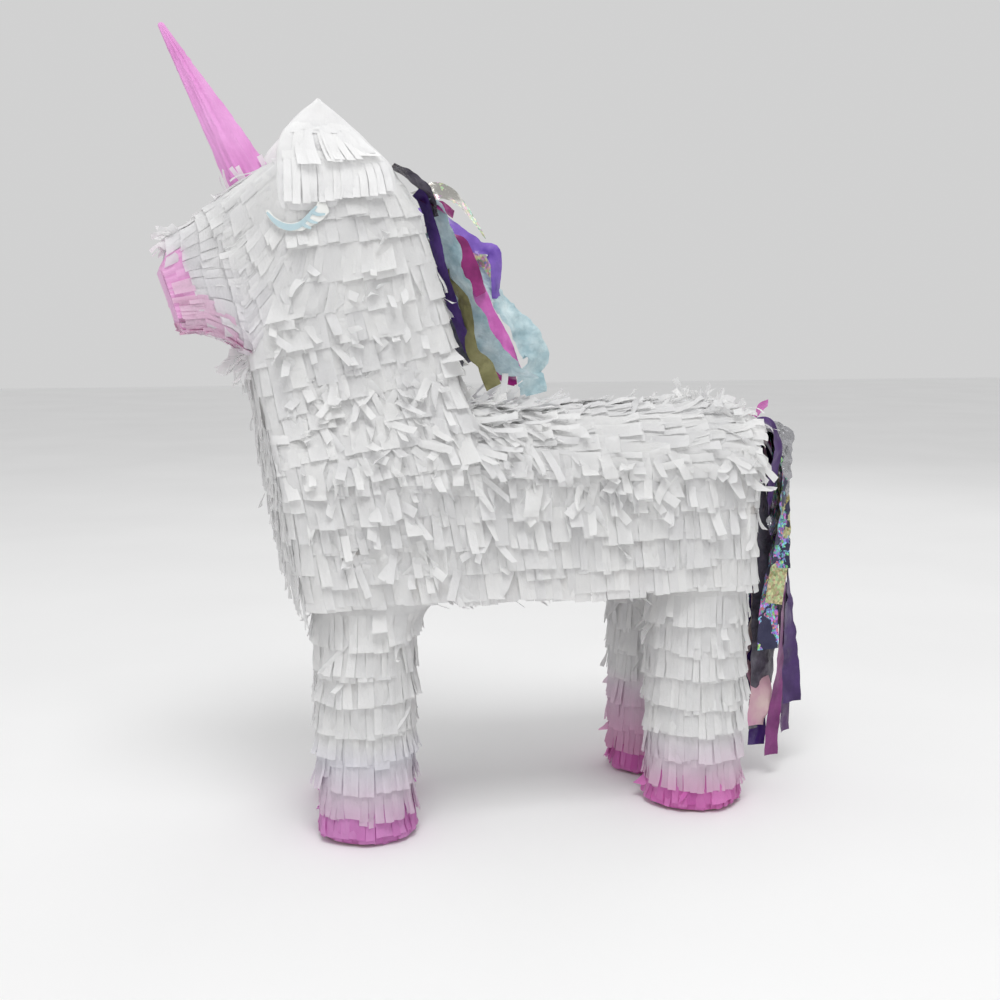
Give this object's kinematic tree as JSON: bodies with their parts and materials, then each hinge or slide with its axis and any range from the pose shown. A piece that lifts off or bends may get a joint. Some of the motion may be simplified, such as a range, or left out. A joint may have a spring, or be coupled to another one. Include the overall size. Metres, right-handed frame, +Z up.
{
  "type": "pinata",
  "caption": "Unicorn-shaped party pinata in white fringed tissue paper, with a pink horn, pink hooves, and a ribbon mane and tail.",
  "frame": {"origin": "centre of the bounding box in X and Y, on the floor under the four feet", "axes": "+Z up, -X towards the nose, -Y towards the animal's left side"},
  "size_m": [0.4674, 0.1528, 0.5278],
  "materials": {
    "board": "matte",
    "tissue_white": "matte",
    "tissue_pink": "matte",
    "tissue_magenta": "matte",
    "tissue_horn": "satin",
    "decal_card": "satin",
    "decal_blue": "satin",
    "ribbon_blue": "satin",
    "ribbon_purple": "satin",
    "ribbon_magenta": "satin",
    "ribbon_foil": "gloss",
    "ribbon_gold": "satin"
  },
  "bodies": {
    "casing": {"back_wrap": "board", "flank_left": "board", "flank_right": "board", "belly_panel": "board", "chest_panel": "board", "rump_panel": "board", "neck_side_left": "board", "neck_side_right": "board", "throat_panel": "board", "jaw_panel": "board", "nose_panel": "board", "forehead_panel": "board", "crown_panel": "board", "crest_panel": "board", "leg_front_left": "board", "leg_front_right": "board", "leg_rear_left": "board", "leg_rear_right": "board", "sole_front_left": "board", "sole_front_right": "board", "sole_rear_left": "board", "sole_rear_right": "board", "hanger_plate_front": "board", "hanger_plate_rear": "board", "horn_cone": "board", "ear_left": "board", "ear_right": "board", "tail_anchor": "board", "horn_wrap": "tissue_horn", "ear_wrap_left": "tissue_white", "ear_wrap_right": "tissue_white", "barrel_fringe": "tissue_white", "chest_fringe": "tissue_white", "rump_fringe": "tissue_white", "belly_fringe": "tissue_white", "neck_fringe": "tissue_white", "head_fringe": "tissue_white", "leg_fringe_front_left": "tissue_white", "leg_fringe_front_right": "tissue_white", "leg_fringe_rear_left": "tissue_white", "leg_fringe_rear_right": "tissue_white", "mane_tape": "tissue_white", "eye_left": "decal_blue", "eye_right": "decal_blue", "nose_patch": "tissue_pink", "muzzle_fringe": "tissue_pink", "hoof_fringe_front_left": "tissue_magenta", "hoof_fringe_front_right": "tissue_magenta", "hoof_fringe_rear_left": "tissue_magenta", "hoof_fringe_rear_right": "tissue_magenta", "mane_blue": "ribbon_blue", "mane_purple": "ribbon_purple", "mane_magenta": "ribbon_magenta", "mane_foil": "ribbon_foil"},
    "flap": {"fill_flap": "board", "flap_fringe": "tissue_white"},
    "tail": {"tail_root": "tissue_white", "tail_purple": "ribbon_purple", "tail_magenta": "ribbon_magenta", "tail_foil": "ribbon_foil"}
  },
  "joints": [
    {"name": "flap_hinge", "type": "hinge", "parent": "casing", "child": "flap", "pos_m": [0.0788, 0.025, 0.28], "axis": [-1, 0, 0], "range_deg": [0, 95]},
    {"name": "tail_hinge", "type": "hinge", "parent": "casing", "child": "tail", "pos_m": [0.1768, 0, 0.264], "axis": [0, -1, 0], "range_deg": [0, 75]}
  ]
}
